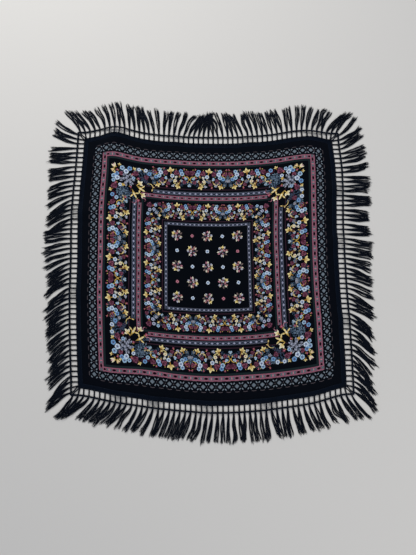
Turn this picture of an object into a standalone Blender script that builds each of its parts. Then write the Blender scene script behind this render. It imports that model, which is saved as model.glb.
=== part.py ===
"""Square wool scarf laid out flat, with a fringed trim sewn round its four edges.

Metres, +Z up, +Y towards the far edge of the scarf. The scarf is drawn flat first, in flat
coordinates u (along X) and v (along Y) measured from its middle, and lay() then puts each flat
point where it lies: the edges bow as the table EDGE_BOWS says and the cloth lifts off the
surface along the soft ridges of the table FOLDS. The trim is a woven tape, a ladder of short
yarn bars, a cord and one loose lock of yarn for each bar.
"""

import math
import random

import bmesh
import bpy
import numpy as np

# Driving sizes of the flat scarf.
TRIM_HALF = 0.459  # from the middle to the outer edge of the tape
TAPE_WIDTH = 0.0155
SEAM_GAP = 0.0004
CLOTH_HALF = TRIM_HALF - TAPE_WIDTH - SEAM_GAP
CLOTH_THICKNESS = 0.0015
TAPE_THICKNESS = 0.0020
CLOTH_CELLS = 38

# The ladder and the cord of the trim.
LOCKS_PER_SIDE = 53
BAR_WIDTH = 0.0050
LADDER_LENGTH = 0.0215
CORD_WIDTH = 0.0050
CORD_THICKNESS = 0.0040
CORD_HALF = TRIM_HALF + LADDER_LENGTH + CORD_WIDTH
MITRE_GAP = 0.00025

# One lock of yarn, from its root on the cord to its flattened tip.
LOCK_LENGTH = 0.096
LOCK_LENGTH_SPREAD = 0.002
LOCK_TIP_WIDTH = 0.0082
LOCK_TIP_HEIGHT = 0.0020
LOCK_CLEARANCE = 0.0007
CORNER_CLEARANCE = 0.0025
LOCK_BEND = 1.2
MOST_REACH = 0.80  # sideways, as a share of the lock's length
FLOOR_CLEARANCE = 0.0004
LEAN_SPREAD = 1.5
RELAXING_PASSES = 200
SEED = 7

# How far each edge of the laid scarf stands out from the flat one, in mm, at even steps along
# the edge. far and near run from left to right, left and right run from near to far.
EDGE_COLUMNS = ("far", "near", "left", "right")
EDGE_BOWS = (
    (2.0, -31.0, -19.0, 8.0),
    (21.0, -10.0, -11.0, 7.0),
    (-2.0, 7.0, -4.0, 4.5),
    (-14.0, 20.0, 0.0, 0.0),
    (-18.0, 27.0, 1.5, -2.0),
    (-17.0, 24.0, 5.0, -3.0),
    (-8.0, 12.0, 4.0, 0.5),
    (8.5, -5.0, -2.0, 1.5),
    (-2.0, -34.0, -6.0, -7.0),
)

# Soft ridges of cloth that lift off the surface: middle in mm, heading in degrees from +X,
# then length, width and height in mm.
FOLD_COLUMNS = ("u", "v", "heading", "length", "width", "height")
FOLDS = (
    (-345, 455, 82, 340, 130, 13.0),
    (385, 440, 75, 300, 120, 10.0),
    (-120, 455, 96, 240, 100, 5.0),
    (150, 460, 100, 210, 95, 4.5),
    (-330, -430, 101, 300, 88, 9.0),
    (-205, -420, 97, 330, 84, 11.0),
    (-20, -460, 91, 210, 110, 5.5),
    (190, -450, 83, 270, 100, 7.5),
    (392, -400, 52, 250, 92, 6.0),
    (-450, 175, 6, 250, 92, 6.5),
    (-452, -130, -9, 270, 100, 5.0),
    (450, 262, -5, 250, 86, 6.0),
    (452, 62, 7, 300, 92, 7.0),
    (450, -222, -7, 250, 88, 5.5),
    (-215, -150, 52, 400, 105, 6.0),
    (205, 190, 38, 430, 115, 5.5),
    (-190, 235, -32, 300, 100, 4.5),
    (0, 15, 1, 930, 56, 2.6),
    (8, 0, 91, 930, 56, 2.2),
)
FOLD_REACH = 0.050  # how far past the tape a ridge dies away

# How the locks of each side lean, in degrees towards +X or +Y, by place along the side.
LEANS = {
    "far": (
        (-1.00, -43), (-0.92, -36), (-0.84, -27), (-0.74, -13), (-0.55, -8), (-0.42, -17),
        (-0.35, -2), (-0.26, 14), (-0.19, 30), (-0.08, 25), (0.00, 8), (0.06, -12),
        (0.20, -20), (0.38, -15), (0.52, -17), (0.60, -10), (0.67, 4), (0.78, 19),
        (0.88, 26), (0.94, 36), (1.00, 43),
    ),
    "near": (
        (-1.00, -43), (-0.90, -39), (-0.75, -35), (-0.55, -30), (-0.35, -23), (-0.18, -14),
        (0.00, -8), (0.10, -3), (0.20, 3), (0.35, 6), (0.50, 12), (0.70, 20),
        (0.86, 25), (0.94, 34), (1.00, 42),
    ),
    "left": (
        (-1.00, -43), (-0.85, -40), (-0.60, -37), (-0.40, -34), (-0.15, -36), (0.00, -27),
        (0.12, -12), (0.20, -9), (0.30, -30), (0.42, -33), (0.55, -16), (0.70, -9),
        (0.85, -2), (0.92, 14), (0.96, 34), (1.00, 43),
    ),
    "right": (
        (-1.00, -43), (-0.90, -46), (-0.75, -45), (-0.60, -42), (-0.42, -36), (-0.28, -29),
        (-0.14, -19), (0.05, -10), (0.28, -4), (0.45, -1), (0.62, 2), (0.75, 12),
        (0.86, 22), (0.94, 35), (1.00, 43),
    ),
}

# Rings of a lock after its root: place along the lock, width and thickness in mm.
LOCK_RINGS = ((0.33, 6.0, 4.4), (0.68, 7.6, 4.2))

NAVY_YARN = ("navy_yarn", (0.010, 0.014, 0.026), 0.75)
BLACK_WOOL = ("black_wool", (0.009, 0.010, 0.014), 0.85)


def smooth_step(value):
    """0 below 0, 1 above 1 and an even curve between them."""
    t = np.clip(value, 0.0, 1.0)
    return t * t * (3.0 - 2.0 * t)


def edge_bow(edge, place):
    """How far the named edge stands out at a place from -1 to 1 along it, in metres."""
    column = EDGE_COLUMNS.index(edge)
    rows = np.array([row[column] for row in EDGE_BOWS]) / 1000.0
    last = len(rows) - 1
    at = np.clip((np.asarray(place, float) + 1.0) / 2.0, 0.0, 1.0) * last
    first = np.minimum(at.astype(int), last - 1)
    t = at - first
    before, after = np.maximum(first - 1, 0), np.minimum(first + 2, last)
    a, b, c, d = rows[before], rows[first], rows[first + 1], rows[after]
    slope_b, slope_c = (c - a) / 2.0, (d - b) / 2.0
    return (
        b * (2 * t**3 - 3 * t**2 + 1)
        + slope_b * (t**3 - 2 * t**2 + t)
        + c * (3 * t**2 - 2 * t**3)
        + slope_c * (t**3 - t**2)
    )


def fold_height(u, v):
    """How far the underside lifts off the surface at a flat point."""
    height = np.zeros(np.broadcast(u, v).shape)
    for row in FOLDS:
        fold = dict(zip(FOLD_COLUMNS, row))
        turn = math.radians(fold["heading"])
        du, dv = u - fold["u"] / 1000.0, v - fold["v"] / 1000.0
        along = (du * math.cos(turn) + dv * math.sin(turn)) / (fold["length"] / 1000.0)
        across = (dv * math.cos(turn) - du * math.sin(turn)) / (fold["width"] / 1000.0)
        swell = np.cos(math.pi * np.clip(along, -0.5, 0.5)) ** 2
        swell = swell * np.cos(math.pi * np.clip(across, -0.5, 0.5)) ** 2
        height = height + swell * fold["height"] / 1000.0
    outside = np.maximum(np.maximum(abs(u), abs(v)) - TRIM_HALF, 0.0)
    return height * (1.0 - smooth_step(outside / FOLD_REACH))


def lay(u, v, z):
    """Puts flat points, at height z over the underside, where they lie."""
    u, v, z = (np.asarray(a, float) for a in (u, v, z))
    across = np.clip(u / TRIM_HALF, -1.0, 1.0)
    along = np.clip(v / TRIM_HALF, -1.0, 1.0)
    right, left = (1.0 + across) / 2.0, (1.0 - across) / 2.0
    far, near = (1.0 + along) / 2.0, (1.0 - along) / 2.0
    x = u + right * edge_bow("right", along) - left * edge_bow("left", along)
    y = v + far * edge_bow("far", across) - near * edge_bow("near", across)
    return np.stack([x, y, z + fold_height(u, v)], axis=-1)


def side_to_flat(side, s, r):
    """Flat u and v of a point s along a side and r out from the scarf's middle."""
    return {"far": (s, r), "near": (s, -r), "left": (-r, s), "right": (r, s)}[side]


def cloth_geometry():
    """Points and faces of the cloth: a wall of even thickness on a square grid."""
    count = CLOTH_CELLS + 1
    line = np.linspace(-CLOTH_HALF, CLOTH_HALF, count)
    u, v = np.meshgrid(line, line, indexing="ij")
    points = [lay(u, v, np.full(u.shape, z)).reshape(-1, 3) for z in (0.0, CLOTH_THICKNESS)]
    upper = count * count
    faces = []
    for i in range(CLOTH_CELLS):
        for j in range(CLOTH_CELLS):
            corners = (i * count + j, (i + 1) * count + j, (i + 1) * count + j + 1, i * count + j + 1)
            faces.append(tuple(upper + c for c in corners))
            faces.append(corners[::-1])
    rim = [i * count for i in range(count)]
    rim += [(count - 1) * count + j for j in range(1, count)]
    rim += [i * count + count - 1 for i in range(count - 2, -1, -1)]
    rim += [j for j in range(count - 2, 0, -1)]
    for a, b in zip(rim, rim[1:] + rim[:1]):
        faces.append((a, b, upper + b, upper + a))
    return np.concatenate(points), faces


def lean_at(side, place):
    """Lean of a lock in degrees, read from the side's table."""
    places, leans = zip(*LEANS[side])
    return float(np.interp(place, places, leans))


def tip_room(root, tip, length):
    """How far out a lock's tip lies, its slope, and the room it takes along the side."""
    reach = min(abs(tip - root), MOST_REACH * length)
    run = math.sqrt(length**2 - reach**2)
    slope = LOCK_BEND * reach / run
    return run, slope, (LOCK_TIP_WIDTH + LOCK_CLEARANCE) * math.hypot(1.0, slope)


def lock_tips(side, roots):
    """Where the tips lie along the side, and each lock's length, with no lock over the next."""
    chance = random.Random(f"{SEED} {side}")
    lengths, tips = [], []
    for place, root in roots:
        lean = math.radians(lean_at(side, place) + chance.uniform(-LEAN_SPREAD, LEAN_SPREAD))
        length = LOCK_LENGTH + chance.uniform(-LOCK_LENGTH_SPREAD, LOCK_LENGTH_SPREAD)
        lengths.append(length)
        tips.append(root + length * math.sin(lean))
    for _ in range(RELAXING_PASSES):
        rooms = [tip_room(root, *rest) for (_, root), *rest in zip(roots, tips, lengths)]
        for i, (one, other) in enumerate(zip(rooms, rooms[1:])):
            step = abs(one[0] - other[0]) * max(one[1], other[1])
            short = max(one[2], other[2]) + step - (tips[i + 1] - tips[i])
            if short > 0.0:
                tips[i] -= short / 2.0
                tips[i + 1] += short / 2.0
        # The last lock at each end stays on its own side of the corner's diagonal.
        (low, _, low_room), (high, _, high_room) = rooms[0], rooms[-1]
        tips[0] = max(tips[0], -(CORD_HALF + low - low_room / 2.0 - CORNER_CLEARANCE))
        tips[-1] = min(tips[-1], CORD_HALF + high - high_room / 2.0 - CORNER_CLEARANCE)
        for i, ((_, root), length) in enumerate(zip(roots, lengths)):
            tips[i] = min(max(tips[i], root - MOST_REACH * length), root + MOST_REACH * length)
    return lengths, tips


class Trim:
    """The points and faces of one side of the trim."""

    def __init__(self, side):
        self.side = side
        self.flat = []
        self.faces = []

    def point(self, s, r, z):
        """Adds a point and returns its number."""
        self.flat.append((s, r, z))
        return len(self.flat) - 1

    def pair(self, s, r, thickness, base=0.0):
        """The lower and the upper point of the trim at one place."""
        return self.point(s, r, base), self.point(s, r, base + thickness)

    def plates(self, *corners):
        """The lower and the upper face over corner pairs."""
        self.faces.append(tuple(lower for lower, _ in corners))
        self.faces.append(tuple(upper for _, upper in reversed(corners)))

    def wall(self, a, b):
        """The upright face between two corner pairs."""
        self.faces.append((a[0], b[0], b[1], a[1]))

    def lock(self, root, start, tip, length):
        """A lock of four sides from the root face on the cord to its wedge-shaped tip."""
        (s0, r0), reach = start, tip - start[0]
        run = math.sqrt(length**2 - reach**2)

        def place(q):
            return s0 + reach * q**LOCK_BEND, r0 + run * q

        def sides(q, half_width):
            slope = reach * LOCK_BEND * q ** (LOCK_BEND - 1.0)
            size = math.hypot(slope, run)
            (s, r), side = place(q), (run / size * half_width, -slope / size * half_width)
            return (s - side[0], r - side[1]), (s + side[0], r + side[1])

        ring = root
        for q, width, thickness in LOCK_RINGS:
            one, other = sides(q, width / 2000.0)
            low_one, high_one = self.pair(*one, thickness / 1000.0, FLOOR_CLEARANCE)
            low_other, high_other = self.pair(*other, thickness / 1000.0, FLOOR_CLEARANCE)
            after = (low_one, low_other, high_other, high_one)
            for k in range(4):
                self.faces.append((ring[k], ring[(k + 1) % 4], after[(k + 1) % 4], after[k]))
            ring = after
        one, other = (self.point(*p, LOCK_TIP_HEIGHT) for p in sides(1.0, LOCK_TIP_WIDTH / 2.0))
        low_one, low_other, high_other, high_one = ring
        self.faces.append((low_one, low_other, other, one))
        self.faces.append((high_other, high_one, one, other))
        self.faces.append((low_other, high_other, other))
        self.faces.append((high_one, low_one, one))


def trim_geometry(side):
    """Points and faces of one side: tape, ladder, cord and locks as a single body."""
    trim = Trim(side)
    inner, outer = TRIM_HALF - TAPE_WIDTH, TRIM_HALF
    ladder_end = TRIM_HALF + LADDER_LENGTH
    places = [(2 * i + 1) / LOCKS_PER_SIDE - 1.0 for i in range(LOCKS_PER_SIDE)]
    half_bar = BAR_WIDTH / 2.0

    def line(r, thickness, base=0.0):
        """Corner pairs along the side: its start, two for each bar, and its end."""
        stops = [-(r - MITRE_GAP)]
        for place in places:
            stops += [place * r - half_bar, place * r + half_bar]
        stops.append(r - MITRE_GAP)
        return [trim.pair(s, r, thickness, base) for s in stops]

    tape_outer = line(outer, TAPE_THICKNESS)
    cord_inner = line(ladder_end, CORD_THICKNESS, FLOOR_CLEARANCE)
    cord_outer = line(CORD_HALF, CORD_THICKNESS, FLOOR_CLEARANCE)
    between = [(a + b) / 2.0 * inner for a, b in zip(places, places[1:])]
    stops = [-(inner - MITRE_GAP), *between, inner - MITRE_GAP]
    tape_inner = [trim.pair(s, inner, TAPE_THICKNESS) for s in stops]

    last = 2 * LOCKS_PER_SIDE + 1
    trim.plates(tape_inner[0], tape_outer[1], tape_outer[0])
    trim.plates(tape_inner[-1], tape_outer[last], tape_outer[last - 1])
    trim.wall(tape_inner[0], tape_outer[0])
    trim.wall(tape_outer[last], tape_inner[-1])
    trim.wall(cord_inner[0], cord_outer[0])
    trim.wall(cord_outer[last], cord_inner[last])
    for i in range(LOCKS_PER_SIDE):
        left, right = 2 * i + 1, 2 * i + 2
        trim.plates(tape_inner[i], tape_outer[right], tape_outer[left])
        trim.plates(tape_inner[i], tape_inner[i + 1], tape_outer[right])
        trim.wall(tape_inner[i + 1], tape_inner[i])
        trim.plates(tape_outer[left], tape_outer[right], cord_inner[right], cord_inner[left])
        trim.wall(tape_outer[left], cord_inner[left])
        trim.wall(cord_inner[right], tape_outer[right])
        if i + 1 < LOCKS_PER_SIDE:
            trim.plates(tape_inner[i + 1], tape_outer[right + 1], tape_outer[right])
    for c in range(last):
        trim.plates(cord_inner[c], cord_inner[c + 1], cord_outer[c + 1], cord_outer[c])
        if c % 2 == 0:
            trim.wall(tape_outer[c], tape_outer[c + 1])
            trim.wall(cord_inner[c + 1], cord_inner[c])
            trim.wall(cord_outer[c], cord_outer[c + 1])

    roots = [(place, place * CORD_HALF) for place in places]
    lengths, tips = lock_tips(side, roots)
    for i, (_, root_s) in enumerate(roots):
        a, b = cord_outer[2 * i + 1], cord_outer[2 * i + 2]
        trim.lock((a[0], b[0], b[1], a[1]), (root_s, CORD_HALF), tips[i], lengths[i])

    s, r, z = np.array(trim.flat).T
    return lay(*side_to_flat(side, s, r), z), trim.faces


def make_material(name, colour, roughness):
    """A plain dyed yarn or cloth."""
    material = bpy.data.materials.new(name)
    material.use_nodes = True
    shader = material.node_tree.nodes["Principled BSDF"]
    shader.inputs["Base Color"].default_value = (*colour, 1.0)
    shader.inputs["Roughness"].default_value = roughness
    shader.inputs["Metallic"].default_value = 0.0
    return material


def make_object(name, points, faces, material, location):
    """A named object from points and faces, with its faces pointing out."""
    mesh = bpy.data.meshes.new(name)
    mesh.from_pydata([tuple(p) for p in points], [], faces)
    work = bmesh.new()
    work.from_mesh(mesh)
    bmesh.ops.recalc_face_normals(work, faces=work.faces)
    work.to_mesh(mesh)
    work.free()
    mesh.materials.append(material)
    made = bpy.data.objects.new(name, mesh)
    made.location = location
    bpy.context.scene.collection.objects.link(made)
    return made


def main():
    for old in list(bpy.data.objects):
        bpy.data.objects.remove(old)
    yarn, wool = make_material(*NAVY_YARN), make_material(*BLACK_WOOL)
    shapes = {"cloth_panel": (*cloth_geometry(), wool)}
    for side in LEANS:
        shapes[f"fringe_{side}"] = (*trim_geometry(side), yarn)
    every = np.concatenate([points for points, _, _ in shapes.values()])
    low, high = every.min(axis=0), every.max(axis=0)
    # The origin is on the surface, under the middle of the whole scarf.
    origin = (-(low[0] + high[0]) / 2.0, -(low[1] + high[1]) / 2.0, 0.0)
    for name, (points, faces, material) in shapes.items():
        make_object(name, points, faces, material, origin)


main()
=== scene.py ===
"""Looks of the square wool scarf: its printed cloth, its trim and its loose fringe.

The flat scarf is described in flat millimetres from its middle, u to the right and v to the far
edge. The print is charted on that flat square, side by side with the same four-fold turn that the
real printing blocks have, and lay() then puts cloth, tape and yarn where the CAD solids lie.
"""

import math

import bpy
import numpy as np
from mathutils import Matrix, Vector
from mathutils.geometry import delaunay_2d_cdt


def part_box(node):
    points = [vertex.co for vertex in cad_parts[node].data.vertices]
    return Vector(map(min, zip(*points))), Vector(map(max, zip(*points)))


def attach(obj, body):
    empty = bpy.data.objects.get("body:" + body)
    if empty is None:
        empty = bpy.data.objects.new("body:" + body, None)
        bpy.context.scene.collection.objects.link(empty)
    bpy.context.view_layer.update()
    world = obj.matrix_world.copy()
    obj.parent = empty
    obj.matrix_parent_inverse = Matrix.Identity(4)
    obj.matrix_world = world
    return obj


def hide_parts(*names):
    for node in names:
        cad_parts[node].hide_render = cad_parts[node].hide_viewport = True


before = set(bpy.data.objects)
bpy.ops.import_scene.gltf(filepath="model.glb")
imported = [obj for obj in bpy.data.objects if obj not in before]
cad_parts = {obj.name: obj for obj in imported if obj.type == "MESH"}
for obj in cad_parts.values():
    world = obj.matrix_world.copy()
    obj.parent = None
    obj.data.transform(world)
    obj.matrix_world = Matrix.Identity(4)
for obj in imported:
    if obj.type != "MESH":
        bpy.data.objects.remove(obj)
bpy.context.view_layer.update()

MM = 0.001
SEED = 11

# Sizes of the flat scarf, as in the CAD.

TRIM_HALF = 459.0
TAPE_WIDTH = 15.5
HEM_LAP = 3.5  # the hem runs on under the tape
SEAM_GAP = 0.4  # between the solid of the cloth and the tape
CLOTH_EDGE = TRIM_HALF - TAPE_WIDTH + HEM_LAP
CLOTH_THICKNESS = 1.3
BACK_LIFT = 0.15  # the back's height over the floor
LADDER_LENGTH = 21.5
CORD_WIDTH = 5.0
CORD_HALF = TRIM_HALF + LADDER_LENGTH + CORD_WIDTH
LOCKS_PER_SIDE = 53
LOCK_LENGTH = 96.0

SIDES = ("far", "right", "near", "left")
EDGE_COLUMNS = ("far", "near", "left", "right")
EDGE_BOWS = (
    (2, -31, -19, 8),
    (21, -10, -11, 7),
    (-2, 7, -4, 4.5),
    (-14, 20, 0, 0),
    (-18, 27, 1.5, -2),
    (-17, 24, 5, -3),
    (-8, 12, 4, 0.5),
    (8.5, -5, -2, 1.5),
    (-2, -34, -6, -7),
)
# Folds and creases: u, v, heading in degrees, length, width and height.
FOLDS = (
    (-345, 455, 82, 340, 130, 13),
    (385, 440, 75, 300, 120, 10),
    (-120, 455, 96, 240, 100, 5),
    (150, 460, 100, 210, 95, 4.5),
    (-330, -430, 101, 300, 88, 9),
    (-205, -420, 97, 330, 84, 11),
    (-20, -460, 91, 210, 110, 5.5),
    (190, -450, 83, 270, 100, 7.5),
    (392, -400, 52, 250, 92, 6),
    (-450, 175, 6, 250, 92, 6.5),
    (-452, -130, -9, 270, 100, 5),
    (450, 262, -5, 250, 86, 6),
    (452, 62, 7, 300, 92, 7),
    (450, -222, -7, 250, 88, 5.5),
    (-215, -150, 52, 400, 105, 6),
    (205, 190, 38, 430, 115, 5.5),
    (-190, 235, -32, 300, 100, 4.5),
    (0, 15, 1, 930, 56, 2.6),
    (8, 0, 91, 930, 56, 2.2),
)
# Small creases that only show: they ride on the folds of the solid.
CREASES = (
    (-392, 405, 60, 120, 34, 2.2),
    (-300, 430, 96, 130, 30, 1.8),
    (-372, -345, 84, 150, 34, 2),
    (-262, -392, 99, 170, 30, -1.8),
    (-150, -405, 101, 150, 34, 1.6),
    (70, -420, 86, 110, 36, 1.6),
    (300, -405, 71, 130, 34, 1.7),
    (-420, 300, 12, 110, 32, 1.4),
    (-415, 30, -6, 130, 36, 1.3),
    (418, 150, -12, 120, 30, 1.5),
    (420, -60, 9, 130, 34, 1.4),
    (330, 330, 44, 150, 40, 1.5),
    (-110, 90, 61, 210, 40, 1),
    (120, -110, 24, 240, 44, 1.1),
    (90, 300, -18, 190, 38, 0.9),
    (-60, -250, 8, 220, 40, 1),
)
FOLD_REACH = 50.0

LEANS = {
    "far": (
        (-1, -43), (-0.92, -36), (-0.84, -27), (-0.74, -13), (-0.55, -8), (-0.42, -17),
        (-0.35, -2), (-0.26, 14), (-0.19, 30), (-0.08, 25), (0, 8), (0.06, -12),
        (0.20, -20), (0.38, -15), (0.52, -17), (0.60, -10), (0.67, 4), (0.78, 19),
        (0.88, 26), (0.94, 36), (1, 43),
    ),
    "near": (
        (-1, -43), (-0.90, -39), (-0.75, -35), (-0.55, -30), (-0.35, -23), (-0.18, -14),
        (0, -8), (0.10, -3), (0.20, 3), (0.35, 6), (0.50, 12), (0.70, 20),
        (0.86, 25), (0.94, 34), (1, 42),
    ),
    "left": (
        (-1, -43), (-0.85, -40), (-0.60, -37), (-0.40, -34), (-0.15, -36), (0, -27),
        (0.12, -12), (0.20, -9), (0.30, -30), (0.42, -33), (0.55, -16), (0.70, -9),
        (0.85, -2), (0.92, 14), (0.96, 34), (1, 43),
    ),
    "right": (
        (-1, -43), (-0.90, -46), (-0.75, -45), (-0.60, -42), (-0.42, -36), (-0.28, -29),
        (-0.14, -19), (0.05, -10), (0.28, -4), (0.45, -1), (0.62, 2), (0.75, 12),
        (0.86, 22), (0.94, 35), (1, 43),
    ),
}


def smooth_step(value):
    t = np.clip(value, 0.0, 1.0)
    return t * t * (3.0 - 2.0 * t)


def edge_bow(edge, place):
    """How far the named edge stands out at a place from -1 to 1 along it, in mm."""
    rows = np.array(EDGE_BOWS)[:, EDGE_COLUMNS.index(edge)]
    last = len(rows) - 1
    at = np.clip((place + 1.0) / 2.0, 0.0, 1.0) * last
    first = np.minimum(at.astype(int), last - 1)
    t = at - first
    a, b, c, d = (rows[np.clip(first + k, 0, last)] for k in (-1, 0, 1, 2))
    slope_b, slope_c = (c - a) / 2.0, (d - b) / 2.0
    return (
        b * (2 * t**3 - 3 * t**2 + 1)
        + slope_b * (t**3 - 2 * t**2 + t)
        + c * (3 * t**2 - 2 * t**3)
        + slope_c * (t**3 - t**2)
    )


def relief(u, v, table):
    """Height of the soft ridges of a table at flat points."""
    height = np.zeros(np.shape(u))
    for fold_u, fold_v, heading, length, width, rise in table:
        turn = math.radians(heading)
        du, dv = u - fold_u, v - fold_v
        along = (du * math.cos(turn) + dv * math.sin(turn)) / length
        across = (dv * math.cos(turn) - du * math.sin(turn)) / width
        swell = np.cos(math.pi * np.clip(along, -0.5, 0.5)) ** 2
        height = height + swell * np.cos(math.pi * np.clip(across, -0.5, 0.5)) ** 2 * rise
    return height


def lay(u, v, z):
    """Puts flat points, at height z over the underside, where they lie: metres."""
    u, v, z = (np.asarray(a, float) for a in (u, v, z))
    across, along = np.clip(u / TRIM_HALF, -1.0, 1.0), np.clip(v / TRIM_HALF, -1.0, 1.0)
    right, left = (1.0 + across) / 2.0, (1.0 - across) / 2.0
    far, near = (1.0 + along) / 2.0, (1.0 - along) / 2.0
    x = u + right * edge_bow("right", along) - left * edge_bow("left", along)
    y = v + far * edge_bow("far", across) - near * edge_bow("near", across)
    outside = np.maximum(np.maximum(abs(u), abs(v)) - TRIM_HALF, 0.0)
    lift = np.maximum(relief(u, v, FOLDS) + relief(u, v, CREASES), 0.0)
    lift = lift * (1.0 - smooth_step(outside / FOLD_REACH))
    return np.stack([x, y, z + lift], axis=-1) * MM


# The CAD puts the whole scarf's middle at the origin: the same shift, read off the frame.
hem = np.linspace(-1.0, 1.0, 400) * (TRIM_HALF - TAPE_WIDTH - SEAM_GAP)
ends = np.full(hem.shape, hem[-1])
hems = ((hem, ends), (hem, -ends), (ends, hem), (-ends, hem))
outline = np.concatenate([lay(*pair, 0.0 * hem) for pair in hems])
box_low, box_high = (np.array(corner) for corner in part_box("cloth_panel"))
SHIFT = ((box_low + box_high) - (outline.min(axis=0) + outline.max(axis=0))) / 2.0
SHIFT[2] = 0.0


# Colours of the print, as six-figure screen codes.


def linear(code):
    """The light of a screen code."""
    parts = np.array([int(code[i : i + 2], 16) / 255.0 for i in (0, 2, 4)])
    return np.where(parts <= 0.04045, parts / 12.92, ((parts + 0.055) / 1.055) ** 2.4)


BLACK = "03060c"
GROUND = "04070e"
NIGHT_GREEN = "1a2628"
WINE = "34202a"
BURGUNDY = "5d2c3d"
BURGUNDY_LIGHT = "8c5367"
BURGUNDY_DARK = "2a0f19"
PINK = "a05e70"
PINK_GROUND = "62505c"
PINK_LIGHT = "cf8d9a"
PINK_RED = "a84a5c"
SALMON = "c89388"
TEAL_GREY = "7f9792"
SKY = "6590bb"
SKY_MID = "3f6796"
SKY_LIGHT = "b9d8ea"
SKY_WHITE = "e6eef4"
SKY_BRIGHT = "86b4e0"
SKY_DEEP = "2c4a70"
SLATE = "485d74"
SLATE_LIGHT = "8095a8"
SLATE_DARK = "1a2431"
LAVENDER = "8e90a8"
LAVENDER_LIGHT = "c6c9da"
YELLOW = "e6c566"
YELLOW_LIGHT = "f8e9a6"
CREAM = "f6f0d4"
GOLD = "bd8d3c"
GOLD_DARK = "6a461c"
TAUPE = "8d786f"
LATTICE = "4a555d"
LATTICE_LIGHT = "828c94"
LATTICE_DIM = "414e59"
LATTICE_EDGE = "574f52"
BEAD = "dcdfe8"
BEAD_RIM = "595c6a"
BEAD_GROUND = "2c323c"
BEAD_RING = "7f8597"
BEAD_SHADE = "4a5163"

# Pairs of a heart colour and a rim colour, and of a rim and a petal for the blue flowers.
DIM = (SLATE_DARK, SLATE)
GREY = (SLATE_DARK, SLATE_LIGHT)
RED = (BURGUNDY_DARK, BURGUNDY)
ROSY = (BURGUNDY, PINK_LIGHT)
GILT = (GOLD, YELLOW_LIGHT)
OLD_GOLD = (GOLD_DARK, YELLOW)
SKIES = ((SKY_LIGHT, SKY_MID), (SKY_WHITE, SKY), (SKY_BRIGHT, SKY_DEEP))


# Drawing with flat shapes of colour. A flat point is a complex number of mm, and a later shape
# covers an earlier one.


class Stencil:
    """A list of shapes: outline, centre, reach, colour at the centre, colour at the rim."""

    def __init__(self):
        self.shapes = []

    def fill(self, outline, heart, rim=None, centre=None, reach=None):
        """One shape that fades from its heart colour to its rim colour."""
        outline = np.asarray(outline, complex)
        centre = outline.mean() if centre is None else centre
        reach = abs(outline - centre).max() if reach is None else reach
        self.shapes.append((outline, centre, reach, heart, heart if rim is None else rim))
        return self

    def place(self, other, at=0.0, turn=0.0, size=1.0):
        """Paints another stencil here, turned by degrees, scaled and moved."""
        spin = size * np.exp(1j * math.radians(turn))
        for outline, centre, reach, heart, rim in other.shapes:
            self.shapes.append((outline * spin + at, centre * spin + at, reach * size, heart, rim))
        return self

    def ring(self, outline, turns, *colours):
        """The same shape at each turn round 0. The colours are those of fill()."""
        for turn in turns:
            self.fill(turned(outline, turn), *colours)

    def strew(self, motif, rows):
        """A motif for each row, which gives its place, its turn and the motif's own values."""
        for u, v, turn, *values in rows:
            self.place(motif(*values), u + 1j * v, turn)

    def mirrored(self, across):
        """The same picture seen in a mirror that stands at u = across / 2."""
        made = Stencil()
        for outline, centre, reach, heart, rim in self.shapes:
            made.shapes.append((across - outline.conj(), across - np.conj(centre), reach, heart, rim))
        return made


def disc(radius, count=7, squash=1.0, at=0.0):
    ring = np.exp(2j * math.pi * (np.arange(count) + 0.5) / count) * radius
    return ring.real + 1j * ring.imag * squash + at


def oval(length, height, at=0.0, count=8):
    return disc(length / 2.0, count, height / length) + at


def block(u0, u1, v0, v1):
    return np.array([u0 + 1j * v0, u1 + 1j * v0, u1 + 1j * v1, u0 + 1j * v1])


def diamond(width, height, at=0.0):
    return np.array([width, 1j * height, -width, -1j * height]) / 2.0 + at


def leaf(length, width, count=2, belly=0.8):
    """A pointed leaf from 0 to length."""
    t = np.linspace(0.0, 1.0, count + 2)
    upper = t * length + 0.5j * width * np.sin(math.pi * t**belly)
    return np.concatenate([upper, upper[-2:0:-1].conj()])


def petal(length, width, count=6):
    """A rounded petal from 0 to length."""
    angle = np.radians(np.linspace(-135, 135, count))
    ring = length * (0.56 + 0.44 * np.cos(angle)) + 0.5j * width * np.sin(angle)
    return np.concatenate([[0.0], ring])


def turned(outline, degrees, at=0.0):
    return outline * np.exp(1j * math.radians(degrees)) + at


def stroke(points, widths):
    """A ribbon of changing width along a line of points."""
    points = np.asarray(points, complex)
    widths = np.interp(np.linspace(0, 1, len(points)), np.linspace(0, 1, len(widths)), widths)
    ahead = np.gradient(points)
    side = 1j * ahead / abs(ahead) * widths / 2.0
    return np.concatenate([points + side, (points - side)[::-1]])


def blossom(
    radius, rim=SKY_LIGHT, mid=SKY_MID, dark=SKY_DEEP, eye=BURGUNDY, petals=5, heart=CREAM
):
    """A small open flower: petals that pale towards their rims, parted by dark lines."""
    made = Stencil()
    number = np.arange(petals)
    shape = petal(radius, radius * 1.16, 5)
    made.ring(shape, 360 * number / petals, mid, rim, 0.0, radius * 0.94)
    made.ring(leaf(radius * 0.90, radius * 0.17, 1), 360 * (number + 0.5) / petals, dark)
    made.fill(disc(radius * 0.25, 5), heart, eye, 0.0, radius * 0.2)
    return made


def half_blossom(size, rim=SKY_LIGHT, mid=SKY):
    """A flower seen from the side: three petals over a small cup."""
    made = Stencil()
    made.ring(petal(size * 0.80, size * 0.72, 5), (48, -48), mid, rim, 0.0, size * 0.80)
    made.fill(petal(size, size * 0.72, 5), mid, rim, 0.0, size)
    made.ring(leaf(size * 0.7, size * 0.12, 1), (22, -22), SKY_DEEP)
    made.fill(leaf(size * 0.42, size * 0.36, 1, 0.6), GOLD, YELLOW)
    return made


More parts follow.
